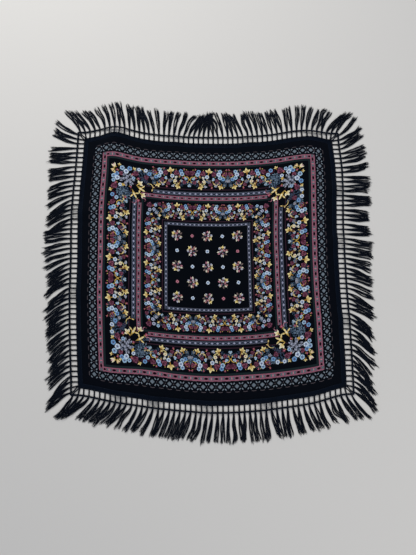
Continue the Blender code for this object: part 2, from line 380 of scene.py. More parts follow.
def rose(radius, light=BURGUNDY_LIGHT, mid=BURGUNDY, dark=BURGUNDY_DARK):
    """A full rose seen from above: two rings of petals, each light at its lip."""
    made = Stencil()
    for size, count, width, start in ((1.0, 6, 0.90, 0), (0.62, 5, 0.70, 38)):
        reach = radius * size
        made.fill(disc(reach * 0.84, 7), dark)
        for k in range(count):
            one = turned(petal(reach * 0.96, radius * width * 0.84, 5), start + 360 * k / count)
            made.fill(one, dark, light if k % 2 else mid, 0.0, reach)
    made.fill(disc(radius * 0.15, 5), PINK_LIGHT, mid)
    return made


def trefoil(size, dark=GOLD, light=YELLOW_LIGHT):
    """A leaf of three lobes on a short stalk."""
    made = Stencil()
    made.fill(stroke([-0.45 * size, -0.2 * size, 0.05 * size], (0.12 * size, 0.10 * size)), dark)
    for turn, length, width in ((64, 0.62, 0.36), (-60, 0.66, 0.36), (2, 0.72, 0.42)):
        made.fill(turned(leaf(length * size, width * size, 3), turn), dark, light, 0.0, 0.55 * size)
        vein = leaf(length * size * 0.62, 0.06 * size, 1)
        made.fill(turned(vein, turn, 0.06 * size), GOLD_DARK, dark)
    return made


def scroll(radius, start, end, colours=GILT):
    """A curled stalk with a leaf at its end and two small ones on its back."""
    made = Stencil()
    spine = radius * np.exp(1j * np.radians(np.linspace(start, end, 9)))
    made.fill(stroke(spine, (0.8, 1.9, 2.5, 1.4)), *colours, spine[-1], radius * 1.9)
    heading = math.degrees(np.angle(spine[-1] - spine[-2]))
    made.fill(turned(leaf(radius * 0.8, radius * 0.34), heading, spine[-1]), colours[1], colours[0])
    made.fill(turned(leaf(radius * 0.55, radius * 0.26), heading + 75, spine[-3]), *colours)
    made.fill(turned(leaf(radius * 0.45, radius * 0.22), heading - 110, spine[4]), *colours)
    return made


def bud(size, heart=BURGUNDY, rim=PINK_RED):
    """A half-open bud with two sepals."""
    made = Stencil()
    made.ring(leaf(size, size * 0.42), (24, -24), heart, rim, 0.0, size)
    made.fill(leaf(size * 0.95, size * 0.36), rim, PINK_LIGHT, 0.0, size)
    made.ring(leaf(size * 0.42, size * 0.2, 1), (105, -105), GOLD, YELLOW)
    return made


def spray(length, colours=GREY, leaves=3, bend=0.18):
    """A thin twig with pairs of small leaves."""
    made = Stencil()
    t = np.linspace(0.0, 1.0, 5)
    spine = length * (t + 1j * bend * np.sin(math.pi * t))
    made.fill(stroke(spine, (1.0, 0.5)), colours[1])
    for k in range(leaves):
        root = length * ((k + 0.7) / leaves * 0.9)
        root = root + 1j * length * bend * math.sin(math.pi * root / length)
        for turn in (48, -48):
            one = turned(leaf(length * 0.30, length * 0.13, 1), turn, root)
            made.fill(one, *colours, root, length * 0.28)
    made.fill(turned(leaf(length * 0.28, length * 0.13, 1), -20, spine[-1]), *colours)
    return made


def long_spray(length, colours=GREY):
    return spray(length, colours, 4)


def star(radius, heart=SLATE, rim=LAVENDER_LIGHT, points=6):
    """A flower of narrow pointed petals."""
    made = Stencil()
    turns = 360 * np.arange(points) / points + 12
    made.ring(leaf(radius, radius * 0.40), turns, heart, rim, 0.0, radius * 0.9)
    made.fill(disc(radius * 0.2, 5), YELLOW, GOLD)
    return made


def lily(length):
    """A trumpet seen from the side: three petals turned back round a white throat."""
    made = Stencil()
    body = np.array([0, 0.3 + 0.07j, 0.60 + 0.15j, 0.72 + 0.02j, 0.60 - 0.13j, 0.3 - 0.05j]) * length
    made.fill(body, GOLD_DARK, YELLOW, 0.0, 0.6 * length)
    petals = ((74, 0.40, 0.15, 0.56 + 0.11j), (-66, 0.42, 0.15, 0.56 - 0.09j), (8, 0.46, 0.17, 0.58))
    for turn, size, width, root in petals:
        one = turned(leaf(size * length, width * length, 3), turn, root * length)
        made.fill(one, GOLD, YELLOW_LIGHT, root * length, 0.36 * length)
    made.fill(turned(leaf(0.34 * length, 0.11 * length, 2), 4, 0.42 * length), CREAM)
    made.fill(turned(leaf(0.20 * length, 0.035 * length, 1), 4, 0.48 * length), GOLD_DARK)
    return made


def tuft(radius, leaves=9, colours=(SLATE_DARK, LAVENDER_LIGHT)):
    """A round tuft of veined leaves, like the heart of a big chrysanthemum."""
    made = Stencil()
    for ring, count, start in ((1.0, leaves, 0), (0.66, leaves - 2, 22), (0.36, 5, 8)):
        for k in range(count):
            angle = start + 360 * k / count
            length, root = radius * 0.52, turned(radius * (ring - 0.50), angle)
            lean = angle + (18 if k % 2 else -14)
            made.fill(turned(leaf(length, length * 0.46), lean, root), *colours, root, length * 1.1)
            made.fill(turned(leaf(length * 0.7, length * 0.12, 1), lean, root), SLATE_DARK)
    return made


# Leaves of the posy: angle, root, length, width, lean, heart and rim.
POSY_LEAVES = (
    (4, 9, 11, 7, 22, TAUPE, CREAM),
    (40, 10, 9.5, 6.4, -18, BURGUNDY, SALMON),
    (74, 9, 11.5, 6, 12, TAUPE, LAVENDER_LIGHT),
    (132, 9, 11, 6.6, 25, GOLD_DARK, CREAM),
    (166, 10, 9.5, 6.4, -24, SLATE_DARK, LAVENDER_LIGHT),
    (200, 9, 11.5, 6.6, 16, TAUPE, CREAM),
    (236, 9, 11, 6.4, -16, BURGUNDY, PINK_LIGHT),
    (268, 10, 10, 6.6, 20, TAUPE, LAVENDER_LIGHT),
    (300, 9, 11, 6, -12, GOLD_DARK, CREAM),
    (334, 9, 11.5, 6.4, 14, SLATE_DARK, TAUPE),
    (20, 2, 9, 6.4, 30, BURGUNDY_DARK, PINK_LIGHT),
    (92, 2, 8.5, 6, -20, BURGUNDY, SALMON),
    (150, 2, 9, 6.4, 24, BURGUNDY_DARK, PINK),
    (214, 2, 9.5, 6, -20, TAUPE, LAVENDER_LIGHT),
    (282, 2, 9, 6.4, 18, BURGUNDY_DARK, PINK_LIGHT),
    (318, 1, 9, 4, 0, NIGHT_GREEN, SLATE),
    (136, 0, 8, 3.2, 0, CREAM, LAVENDER_LIGHT),
)


def posy():
    """The round posy of the middle field: blunt pale leaves round a pink heart, one leaf yellow."""
    made = Stencil()
    for angle, out, length, width, lean, heart, rim in POSY_LEAVES:
        root = turned(out, angle)
        made.fill(turned(leaf(length, width), angle + lean, root), heart, rim, root, length * 0.95)
    made.place(trefoil(12.0, YELLOW, YELLOW_LIGHT), turned(13.0, 104), 104)
    return made


# The parts of the print.

FIELD_STEP = 53.5
FIELD_ROWS = ("RpRbR", "bRbRp", "RbRbR", "pRbRb", "RbRpR")  # posy, pink and blue flowers

BAND_OUTER = (282.0, 357.0)
BAND_INNER = (165.0, 224.0)
INNER_SCALE = (BAND_INNER[1] - BAND_INNER[0]) / (BAND_OUTER[1] - BAND_OUTER[0])
TILE = 138.0
TILES_PER_SIDE = 3


def on_each_side(page, part, out=0.0):
    """Repeats what is drawn for the far side, moved out by some mm, round the other three."""
    for k in range(4):
        page.place(Stencil().place(part, 1j * out), 0.0, -90.0 * k)


def strew_blue(page, rows):
    """Small blue flowers in three tones by turns, for rows of place, turn and radius."""
    for k, (u, v, turn, radius) in enumerate(rows):
        page.place(blossom(radius, *SKIES[k % len(SKIES)]), u + 1j * v, turn)


def border_tile():
    """One repeat of the flower border, 138 mm long and 75 mm deep, its foot on the inner side.

    Twigs lie at the back, then come roses, gold stalks, flowers, buds and yellow leaves.
    """
    tile = Stencil()
    tile.strew(spray, (
        (4, 8, 50, 26, DIM), (20, 16, 4, 26), (34, 4, 46, 24, RED), (46, 40, 96, 24, DIM),
        (60, 20, 12, 28), (76, 66, -70, 24, DIM), (84, 26, -30, 24, RED), (102, 34, 60, 26, DIM),
        (104, 4, 30, 26, DIM), (122, 30, -60, 24), (126, 44, 24, 24, RED), (8, 70, -52, 24, RED),
        (30, 70, -20, 22, DIM), (2, 24, 96, 22),
    ))
    tile.strew(rose, (
        (50, 55, 10, 10.5), (90, 57, 40, 11, PINK), (128, 59, -25, 10.5), (9, 55, 70, 9.5, PINK),
        (62, 15, 20, 8), (120, 22, 55, 8, PINK), (40, 30, 0, 7.5),
    ))
    tile.strew(scroll, (
        (42, 25, 0, 11.5, 170, 368), (66, 36, 0, 9.5, 40, -140, OLD_GOLD), (92, 25, 0, 12, 178, 352),
        (126, 33, 0, 10, 150, -40, (GOLD, YELLOW)), (10, 50, 0, 8.5, 250, 420, OLD_GOLD),
        (112, 42, 0, 8, -30, 150, OLD_GOLD),
    ))
    strew_blue(tile, (
        (28, 65, 12, 7.4), (33, 54, 50, 8.2), (106, 64, 30, 7.6), (110, 53, 0, 8.2),
        (75, 44, 44, 7.6), (17, 36, 20, 7.2), (28, 41, 60, 7.8),
    ))
    tile.strew(half_blossom, (
        (56, 36, 200, 9.5), (92, 38, 150, 9, CREAM, LAVENDER), (126, 40, 240, 9.5),
        (78, 10, -60, 9, LAVENDER_LIGHT, SLATE), (44, 13, 250, 8.5, LAVENDER_LIGHT, SLATE),
        (134, 12, -30, 9, SKY_LIGHT, SLATE), (106, 26, 20, 8, LAVENDER_LIGHT, SLATE_DARK),
    ))
    tile.place(blossom(6.4, CREAM, YELLOW, GOLD_DARK, PINK_RED), 86 + 26j, 15)
    tile.strew(star, (
        (68, 27, 10, 8, SLATE_DARK, LAVENDER), (12, 12, 30, 7, *GREY), (4, 29, 50, 7, SLATE_DARK),
    ))
    tile.strew(bud, (
        (56, 6, -70, 8), (44, 68, 80, 7), (100, 45, 60, 7), (20, 50, 150, 7), (118, 69, 100, 7),
        (112, 40, -20, 8), (30, 22, -40, 7), (6, 69, 120, 7),
    ))
    tile.strew(trefoil, ((69, 61, 98, 24), (24, 9, -70, 19), (98, 7, -112, 19)))
    for at in (36 + 70j, 70 + 44j, 46 + 44j, 88 + 70j, 24 + 3j, 126 + 70j, 86 + 18j, 12 + 5j, 100 + 41j):
        tile.fill(disc(1.7, 4, at=at), YELLOW_LIGHT, YELLOW)
    return tile


def corner_bouquet():
    """The bouquet at the far left corner, from the band's outer corner at 0: +x right, -y down."""
    made = Stencil()
    made.strew(long_spray, (
        (28, -112, -62, 44), (52, -104, -66, 42), (72, -112, -50, 34, DIM), (92, -40, 8, 44, DIM),
        (98, -56, -12, 38, RED), (124, -30, 4, 34), (34, -34, -45, 30, DIM), (14, -116, -80, 36, RED),
        (60, -92, -88, 36, DIM), (36, -90, -84, 40, DIM), (84, -34, 28, 30), (112, -60, -24, 30, DIM),
    ))
    made.strew(scroll, (
        (144, -84, 0, 14, 120, -20), (46, -142, 0, 11, 250, 400), (112, -26, 0, 9, 210, 20, OLD_GOLD),
    ))
    made.strew(tuft, ((64, -68, 8, 28, 11), (46, -114, 20, 20, 8, GREY), (118, -52, 0, 15, 7, DIM)))
    made.strew(rose, ((19, -98, 15, 13.5), (93, -38, 50, 11.5), (132, -46, 80, 9.5), (40, -48, 0, 9, PINK)))
    strew_blue(made, (
        (43, -26, 0, 9), (58, -37, 25, 9.6), (70, -23, 50, 8.8), (14, -60, 10, 8.6), (28, -67, 40, 9.2),
        (25, -51, 70, 8.2), (15, -77, 20, 7.2), (104, -20, 15, 6.8), (15, -132, 40, 7.8), (30, -142, 0, 7.4),
        (128, -20, 30, 7.4), (142, -32, 50, 7.4), (86, -58, 0, 6.5), (40, -92, 30, 7),
    ))
    made.strew(bud, (
        (30, -38, 160, 9), (78, -46, 30, 9), (100, -60, 48, 10), (74, -92, -20, 9), (28, -84, 200, 9),
        (60, -132, -60, 9), (17, -27, 118, 17, YELLOW, CREAM), (14, -34, 215, 13, *GILT),
    ))
    made.strew(trefoil, (
        (32, -17, 80, 12), (19, -45, 190, 11), (85, -22, 40, 13), (9, -112, 200, 14),
        (52, -88, 250, 13, GOLD, YELLOW),
    ))
    made.strew(lily, ((82, -98, -62, 38), (96, -82, -34, 40)))
    made.strew(trefoil, ((108, -76, 42, 23, YELLOW, CREAM), (122, -116, -30, 20, YELLOW, CREAM)))
    made.place(bud(13.0), 104 - 134j, -50)
    made.strew(scroll, ((94, -144, 0, 7, 60, -120, ROSY), (128, -134, 0, 6, 150, -30, ROSY)))
    return made


def inner_corner():
    """The small group in each corner of the inner border, from its outer corner at 0."""
    made = Stencil()
    made.strew(long_spray, (
        (26, -30, -42, 30), (30, -12, -8, 26, DIM), (12, -34, -78, 26, DIM), (48, -28, -10, 22, RED),
        (28, -50, -80, 22, RED),
    ))
    made.place(scroll(8.0, 120, -60, OLD_GOLD), 52 - 32j)
    made.strew(rose, ((16, -16, 20, 11), (52, -10, 0, 7.5)))
    made.strew(blossom, (
        (18, -33, 0, 6.2, LAVENDER_LIGHT, SLATE), (33, -30, 30, 6, LAVENDER_LIGHT, SLATE),
        (38, -15, 10, 5.8), (12, -48, 40, 5.8),
    ))
    made.place(star(7.0), 42 - 42j)
    made.place(bud(11.0, *GILT), 50 - 48j, -40)
    made.place(trefoil(9.0), 26 - 48j, 220)
    made.place(bud(8.0), 28 - 18j, 20)
    return made


def lattice(length, pitch):
    """A strip along +x of filled diamonds in black rings, four pale marks round each ring."""
    made = Stencil()
    units = round(length / pitch)
    step = length / units
    for k in range(units):
        at = (k - units / 2.0) * step
        made.fill(diamond(16.5, 14.5, at), LATTICE_LIGHT, LATTICE)
        made.fill(diamond(3.0, 2.6, at), LATTICE_DIM)
        made.fill(diamond(2.8, 5.0, at + step / 2), LATTICE_EDGE)
        for across in (1, -1):
            edge = at + 16.0j * across
            made.fill(stroke([edge - 7.5, edge + 1.2j * across, edge + 7.5], (1.7, 1.7)), LATTICE_EDGE)
            for along in (1, -1):
                middle = at + 9.9 * along + 8.6j * across
                reach = 2.3 * along - 2.3j * across
                made.fill(stroke([middle - reach, middle + reach], (2.9, 2.9)), LATTICE_LIGHT)
    return made


def striped(start, end, depth, pitch, rim, ground, share):
    """A stripe with a paler rim, and the middles of its repeats of about one pitch, and their step."""
    made = Stencil()
    made.fill(block(start, end, -depth / 2, depth / 2), rim)
    made.fill(block(start, end, -depth * share, depth * share), ground)
    units = max(1, round((end - start) / pitch))
    step = (end - start) / units
    return made, [start + (k + 0.5) * step for k in range(units)], step


def paisley_stripe(start, end, depth, pitch, eye):
    """A rose-coloured stripe: dark ovals in pale rings, teal spots between them."""
    made, middles, step = striped(start, end, depth, pitch, PINK, PINK_GROUND, 0.33)
    for at in middles:
        made.fill(oval(step * 0.52, depth * 0.74, at), TEAL_GREY, PINK)
        made.fill(oval(step * 0.44, depth * 0.60, at), BURGUNDY_DARK, BURGUNDY)
        made.fill(oval(step * 0.28, depth * 0.42, at), eye)
        for sign in (-1, 1):
            spot = at + sign * step * 0.36
            made.fill(oval(step * 0.14, depth * 0.70, spot, 6), TEAL_GREY, LATTICE_DIM)
            made.fill(oval(step * 0.05, depth * 0.26, spot, 4), SLATE_DARK)
        if at != middles[-1]:
            made.fill(oval(step * 0.12, depth * 0.60, at + step / 2, 6), PINK_RED, PINK_LIGHT)
    return made


def bead_stripe(start, end, depth, pitch):
    """A grey stripe of bright beads with dark ovals between them."""
    made, middles, step = striped(start, end, depth, pitch, BEAD_RIM, BEAD_GROUND, 0.36)
    for at in middles:
        made.fill(oval(step * 0.60, depth * 0.64, at), BEAD_RING, BEAD_SHADE)
        made.fill(oval(step * 0.46, depth * 0.42, at), BLACK, SLATE_DARK)
        if at != middles[0]:
            made.fill(oval(step * 0.44, depth * 0.52, at - step / 2, 7), BEAD, LAVENDER)
    return made


# Filled squares by their half width.
SQUARES = (
    (370.5, NIGHT_GREEN), (362.0, BLACK), (279.0, WINE), (276.0, BLACK),
    (237.0, NIGHT_GREEN), (230.0, BLACK), (161.0, WINE), (158.0, BLACK),
)
LATTICE_RING = (387.5, 419.5)
LATTICE_PITCH = 28.6
# Striped rings: the half widths that they lie between, start, end, pitch, and an eye or beads.
RINGS = (
    (370.5, 386.0, -386.0, 386.0, 34.6, BLACK),
    (254.5, 267.5, -198.0, 221.0, 19.2, None),
    (237.0, 250.0, -239.0, 212.0, 27.0, BURGUNDY_DARK),
    (142.0, 152.0, -152.0, 152.0, 15.4, None),
)


def chart_print():
    """The whole printed square."""
    page = Stencil()
    page.fill(block(-CLOTH_EDGE, CLOTH_EDGE, -CLOTH_EDGE, CLOTH_EDGE), GROUND)
    for half, colour in SQUARES:
        page.fill(block(-half, half, -half, half), colour)
    on_each_side(page, lattice(sum(LATTICE_RING), LATTICE_PITCH), sum(LATTICE_RING) / 2)
    for low, high, start, end, pitch, eye in RINGS:
        shape = (start, end, high - low, pitch)
        part = bead_stripe(*shape) if eye is None else paisley_stripe(*shape, eye)
        on_each_side(page, part, (low + high) / 2)

    tile = border_tile()
    other = tile.mirrored(TILE)
    side = Stencil()
    for (low, _), scale in ((BAND_OUTER, 1.0), (BAND_INNER, INNER_SCALE)):
        for k in range(TILES_PER_SIDE):
            along = (k - TILES_PER_SIDE / 2.0) * TILE * scale
            side.place(other if k % 2 else tile, along + 1j * low, 0.0, scale)
    side.place(inner_corner(), -BAND_INNER[1] + 1j * BAND_INNER[1])
    side.place(corner_bouquet(), -BAND_OUTER[1] + 1j * BAND_OUTER[1])
    on_each_side(page, side)

    chance = np.random.default_rng(SEED)
    flowers = {
        "R": posy(),
        "b": blossom(6.6, SKY_WHITE, SKY, SKY_DEEP, SKY_DEEP, 4, SKY_DEEP),
        "p": blossom(5.8, PINK_LIGHT, PINK_RED, BURGUNDY, BURGUNDY, 4, BURGUNDY),
    }
    for row, kinds in enumerate(FIELD_ROWS):
        for column, kind in enumerate(kinds):
            at = FIELD_STEP * ((column - 2) + 1j * (2 - row))
            page.place(flowers[kind], at, chance.uniform(0, 360))
    return page


# Meshes.

GRID_STEP = 10.0
MERGE = 0.18  # points nearer than this are one, in mm
STRAIGHT = 0.28  # a point this near the line past it, in mm, can go


def new_mesh(name, points, corners, starts):
    """A mesh from points, the faces' corner numbers in a row, and where each face starts."""
    mesh = bpy.data.meshes.new(name)
    mesh.vertices.add(len(points))
    mesh.vertices.foreach_set("co", np.asarray(points, np.float32).ravel())
    mesh.loops.add(len(corners))
    mesh.loops.foreach_set("vertex_index", np.asarray(corners, np.int32))
    mesh.polygons.add(len(starts))
    mesh.polygons.foreach_set("loop_start", np.asarray(starts, np.int32))
    mesh.update(calc_edges=True)
    mesh.shade_smooth()
    return mesh


def new_piece(name, mesh, material):
    piece = bpy.data.objects.new(name, mesh)
    bpy.context.scene.collection.objects.link(piece)
    mesh.materials.append(material)
    return piece


def set_uv(mesh, name, values):
    layer = mesh.uv_layers.new(name=name)
    layer.uv.foreach_set("vector", np.asarray(values, np.float32).ravel())


def divided(outline):
    """The outline with no edge longer than a grid step, so that it bends with the cloth."""
    ahead = np.roll(outline, -1)
    parts = np.ceil(abs(ahead - outline) / GRID_STEP).astype(int)
    pieces = [p + (q - p) * np.arange(n) / n for p, q, n in zip(outline, ahead, parts) if n > 0]
    return np.concatenate(pieces)


def net(points, lines):
    """Triangles over the plane that keep the lines: points, triangles."""
    vectors = [Vector((p.real, p.imag)) for p in points]
    made, _, triangles, _, _, _ = delaunay_2d_cdt(vectors, lines, [], 0, MERGE, False)
    made = np.array(made, float)
    return made[:, 0] + 1j * made[:, 1], np.array(triangles, int)


def overlay(outlines):
    """Cuts the plane along all outlines: points, triangles."""
    points, lines, used = [], [], 0
    for outline in map(divided, outlines):
        number = np.arange(len(outline))
        points.append(outline)
        lines += (np.stack([number, (number + 1) % len(outline)], axis=1) + used).tolist()
        used += len(outline)
    return net(np.concatenate(points), lines)


def holds(outline, places):
    """Whether each place is inside the outline."""
    ahead = np.roll(outline, -1)
    u, v = places.real[:, None], places.imag[:, None]
    spans = (outline.imag > v) != (ahead.imag > v)
    rise = np.where(ahead.imag == outline.imag, 1.0, ahead.imag - outline.imag)
    cut = outline.real + (v - outline.imag) * (ahead.real - outline.real) / rise
    return (spans & (u < cut)).sum(axis=1) % 2 == 1


def top_shapes(places, outlines):
    """The number of the last outline round each place."""
    order = np.argsort(places.real)
    along = places.real[order]
    top = np.zeros(len(places), int)
    for number, outline in enumerate(outlines):
        first, last = np.searchsorted(along, (outline.real.min(), outline.real.max()))
        near = order[first:last]
        height = places.imag[near]
        near = near[(height > outline.imag.min()) & (height < outline.imag.max())]
        if len(near):
            top[near[holds(outline, places[near])]] = number
    return top


def seen_lines(triangles, top):
    """The edges with another shape on each side, and the outer ones."""
    pairs = np.sort(triangles[:, [0, 1, 1, 2, 2, 0]].reshape(-1, 2), axis=1)
    shape = np.repeat(top, 3)
    key = pairs[:, 0] * (triangles.max() + 1) + pairs[:, 1]
    order = np.argsort(key, kind="stable")
    _, first, count = np.unique(key[order], return_index=True, return_counts=True)
    shared = first[count == 2]
    parted = shared[shape[order[shared]] != shape[order[shared + 1]]]
    return pairs[order[np.concatenate([first[count == 1], parted])]]


def straightened(points, lines):
    """Drops each point that only divides a nearly straight line: points, lines."""
    links = {}
    for a, b in lines.tolist():
        links.setdefault(a, set()).add(b)
        links.setdefault(b, set()).add(a)
    for middle in list(links):
        if len(links[middle]) != 2:
            continue
        a, b = links[middle]
        span = points[b] - points[a]
        off = abs((span.conjugate() * (points[middle] - points[a])).imag) / max(abs(span), 1e-9)
        if off < STRAIGHT and abs(span) < GRID_STEP and b not in links[a]:
            links[a].remove(middle)
            links[b].remove(middle)
            links[a].add(b)
            links[b].add(a)
            del links[middle]
    kept = sorted(links)
    number = {old: new for new, old in enumerate(kept)}
    return points[kept], [(number[a], number[b]) for a in kept for b in links[a] if a < b]


# How the laid cloth holds its print, in mm.
PRINT_SLIP = 7.5
SLIP_FADE = 0.35  # the share of the slip that is gone at the left and right edges
FIELD_SPREAD = 3.0
FIELD_REACH = 150.0
HEM_HOLD = 8  # the power by which the shift dies out at the hem
# Tugs: u, v, reach and the pull along u and v.
TUGS = (
    (-215, -392, 72, 0.0, 7.5),
    (-372, -372, 105, 2.0, -8.0),
    (-295, 378, 80, 0.0, -4.5),
    (120, -395, 70, 0.0, 3.0),
    (392, 120, 70, 3.0, 0.0),
    (-392, -60, 80, -2.5, 0.0),
)


def pulled(points):
    """Flat points of the print where the laid cloth holds them: drawn a little to the far side.

    Folds tug it aside here and there, and it keeps its place along the hem.
    """
    u, v = points.real / CLOTH_EDGE, points.imag / CLOTH_EDGE
    from_field = points.imag / FIELD_REACH
    spread = FIELD_SPREAD * from_field * np.exp((1.0 - from_field**2) / 2.0)
    shift = 1j * (PRINT_SLIP * (1.0 - SLIP_FADE * u**2) + spread)
    for tug_u, tug_v, reach, pull_u, pull_v in TUGS:
        away = abs(points - (tug_u + 1j * tug_v)) / reach
        shift = shift + (pull_u + 1j * pull_v) * np.exp(-(away**2))
    moved = points + shift.real * (1.0 - u**HEM_HOLD) + 1j * shift.imag * (1.0 - v**HEM_HOLD)
    return moved.real, moved.imag


def charted_face(page, grid):
    """The face cut along the print: flat points, triangles and the shape on top of each."""
    outlines = [shape[0] for shape in page.shapes]
    cut, cut_triangles = overlay(outlines)
    seen = seen_lines(cut_triangles, top_shapes(cut[cut_triangles].mean(axis=1), outlines))
    points, lines = straightened(cut, seen)
    face, triangles = net(np.concatenate([points, grid.ravel()]), lines)
    return face, triangles, top_shapes(face[triangles].mean(axis=1), outlines)


def corner_colours(page, places, top):
    """The colour at each corner's place, from its triangle's top shape."""
    centre, reach = (np.array([shape[i] for shape in page.shapes])[top] for i in (1, 2))
    heart, rim = (np.array([linear(shape[i]) for shape in page.shapes])[top] for i in (3, 4))
    away = abs(places - centre[:, None])
    fade = np.clip(away / np.maximum(reach, 0.01)[:, None], 0, 1)[..., None]
    return heart[:, None, :] * (1 - fade) + rim[:, None, :] * fade


def plain_back(face, grid):
    """A coarser net inside the face's own rim, and the hem: flat points, triangles, hem's faces."""
    on_rim = np.flatnonzero(np.maximum(abs(face.real), abs(face.imag)) > CLOTH_EDGE - 0.01)
    loop = on_rim[np.argsort(np.angle(face[on_rim]))]
    ring = [(i, (i + 1) % len(loop)) for i in range(len(loop))]
    back, triangles = net(np.concatenate([face[loop], grid[2:-2:2, 2:-2:2].ravel()]), ring)
    lower = [len(face) + int(np.argmin(abs(back - p))) for p in face[loop]]
    hem = [(loop[i], lower[i], lower[j], loop[j]) for i, j in ring]
    return back, triangles[:, ::-1] + len(face), np.array(hem, int)


# The face fills most of the bake map, and the back a strip on its right.
MAP_EDGE, FACE_SHARE = 0.005, 0.90
BACK_START, BACK_SHARE = 0.915, 0.06


def make_cloth(material):
    """The printed cloth: its face cut along the print, its plain back and its hem."""
    page = chart_print()
    count = int(round(2 * CLOTH_EDGE / GRID_STEP)) + 1
    line = np.linspace(-CLOTH_EDGE, CLOTH_EDGE, count)
    grid = line[None, :] + 1j * line[:, None]
    face, triangles, top = charted_face(page, grid)
    back, back_triangles, hem = plain_back(face, grid)
    upper = lay(*pulled(face), CLOTH_THICKNESS) + SHIFT
    under = lay(*pulled(back), BACK_LIFT) + SHIFT
    corners = np.concatenate([part.ravel() for part in (triangles, back_triangles, hem)])
    sizes = [3] * (len(triangles) + len(back_triangles)) + [4] * len(hem)
    starts = np.concatenate([[0], np.cumsum(sizes)[:-1]])
    mesh = new_mesh("scarf_cloth", np.concatenate([upper, under]), corners, starts)

    paint = np.ones((len(corners), 4), np.float32)
    paint[:, :3] = linear(GROUND)
    paint[: triangles.size, :3] = corner_colours(page, face[triangles], top).reshape(-1, 3)
    layer = mesh.color_attributes.new("print", "FLOAT_COLOR", "CORNER")
    layer.data.foreach_set("color", paint.ravel())

    at = np.concatenate([face, back])[corners]
    flat = np.stack([at.real, at.imag], axis=-1)
    set_uv(mesh, "flat", flat * MM)
    spread = (flat / CLOTH_EDGE + 1.0) / 2.0
    bake = spread * FACE_SHARE + MAP_EDGE
    bake[triangles.size :, 0] = BACK_START + spread[triangles.size :, 0] * BACK_SHARE
    set_uv(mesh, "OFBake", bake)
    return new_piece("scarf_cloth", mesh, material)


def tubes(paths, radii, sides):
    """Closed tubes along paths (tube, step, xyz), of one radius or radii (tube, step).

    Gives their points, corners, starts of faces and map places.
    """
    count, steps, _ = paths.shape
    ahead = np.gradient(paths, axis=1)
    ahead /= np.linalg.norm(ahead, axis=2, keepdims=True)
    side = np.cross(ahead, (0.0, 0.0, 1.0))
    side /= np.maximum(np.linalg.norm(side, axis=2, keepdims=True), 1e-9)
    up = np.cross(side, ahead)
    angle = 2 * math.pi * np.arange(sides) / sides
    ring = np.cos(angle)[:, None] * side[:, :, None, :] + np.sin(angle)[:, None] * up[:, :, None, :]
    points = paths[:, :, None, :] + ring * np.broadcast_to(radii, paths.shape[:2])[:, :, None, None]
    number = np.arange(count * steps * sides).reshape(count, steps, sides)
    after = np.roll(number, -1, axis=2)
    walls = np.stack([number[:, :-1], after[:, :-1], after[:, 1:], number[:, 1:]], axis=-1).reshape(-1, 4)
    caps = np.concatenate([number[:, 0, ::-1], number[:, -1]])
    corners = np.concatenate([walls.ravel(), caps.ravel()])
    starts = np.concatenate([
        np.arange(len(walls)) * 4, len(walls) * 4 + np.arange(len(caps)) * sides
    ])
    # A strip of the map for each tube: along it, and round it.
    along = np.broadcast_to(np.linspace(0.01, 0.99, steps)[None, :, None], number.shape)
    round_ = (np.arange(count)[:, None, None] + 0.1 + 0.8 * np.arange(sides)[None, None, :] / sides) / count
    round_ = np.broadcast_to(round_, number.shape)
    uv = np.stack([along.ravel(), round_.ravel()], axis=-1)[corners]
    return points.reshape(-1, 3), corners, starts, uv


def tube_piece(name, batches, material):
    """One piece of several batches of tubes."""
    points, corners, starts, uvs = [], [], [], []
    seen, used = 0, 0
    for k, batch in enumerate(batches):
        p, c, s, uv = tubes(*batch)
        points.append(p)
        corners.append(c + seen)
        starts.append(s + used)
        uvs.append((uv + (0.0, k)) / (1.0, len(batches)))
        seen, used = seen + len(p), used + len(c)
    mesh = new_mesh(name, *(np.concatenate(a) for a in (points, corners, starts)))
    set_uv(mesh, "OFBake", np.concatenate(uvs))
    return new_piece(name, mesh, material)


def place_all(side, s, r, z):
    """Lays points at s along a side, in +X or +Y, and at r out from the middle."""
    u, v = {"far": (s, r), "near": (s, -r), "left": (-r, s), "right": (r, s)}[side]
    return lay(u, v, z) + SHIFT


LOCK_PLACES = (2 * np.arange(LOCKS_PER_SIDE) + 1) / LOCKS_PER_SIDE - 1.0
LEAN_SPREAD = 3.0  # degrees
LENGTH_SPREAD = 0.02
BUNCH_PULL = 0.38
SHORTEST_RUN = 30.0
STRANDS, YARNS = 3, 6  # a lock is three loose strands, each of six yarns
YARN_RADIUS = 0.85
TIP_TAPER = 0.4
BAR_STEPS, LOCK_STEPS = 6, 17
BAR_LAP = 4.0  # how far the bars run under the tape
BAR_INSET = 6.0  # the last bars gather this far from the tape's corner
BAR_LIFT, LOCK_LIFT, CORD_LIFT, EDGE_CORD_LIFT = 2.3, 2.5, 3.3, 2.0
BEND = 1.42  # the visible locks leave the cord squarer than their solids, and then turn
BAR_TWIST, LOCK_TWIST = 1.2, 2.4  # half turns
BAR_SPREAD, BAR_COIL = 1.25, 0.8
LOCK_SPREAD, OPEN_SPREAD, TIP_SPREAD = 1.5, 2.3, 1.9
LOCK_COIL, OPEN_COIL, LOOSE_COIL = 0.85, 0.75, 0.7
BAR_WAVE = 0.5
OPENING, SINKING = 1.9, 3.0  # how soon a lock's strands part and it sinks to the floor
LOCK_SINK, LOCK_FLATNESS, FLOOR_GAP = 0.6, 0.8, 0.1
STRAND_DRIFT, TIP_DRIFT = 0.14, 0.9
STRAND_RAGGED, YARN_RAGGED = 0.03, 0.035
LOCK_SWAY, STRAND_SWAY, SWAYS = 2.1, 1.3, 2.2


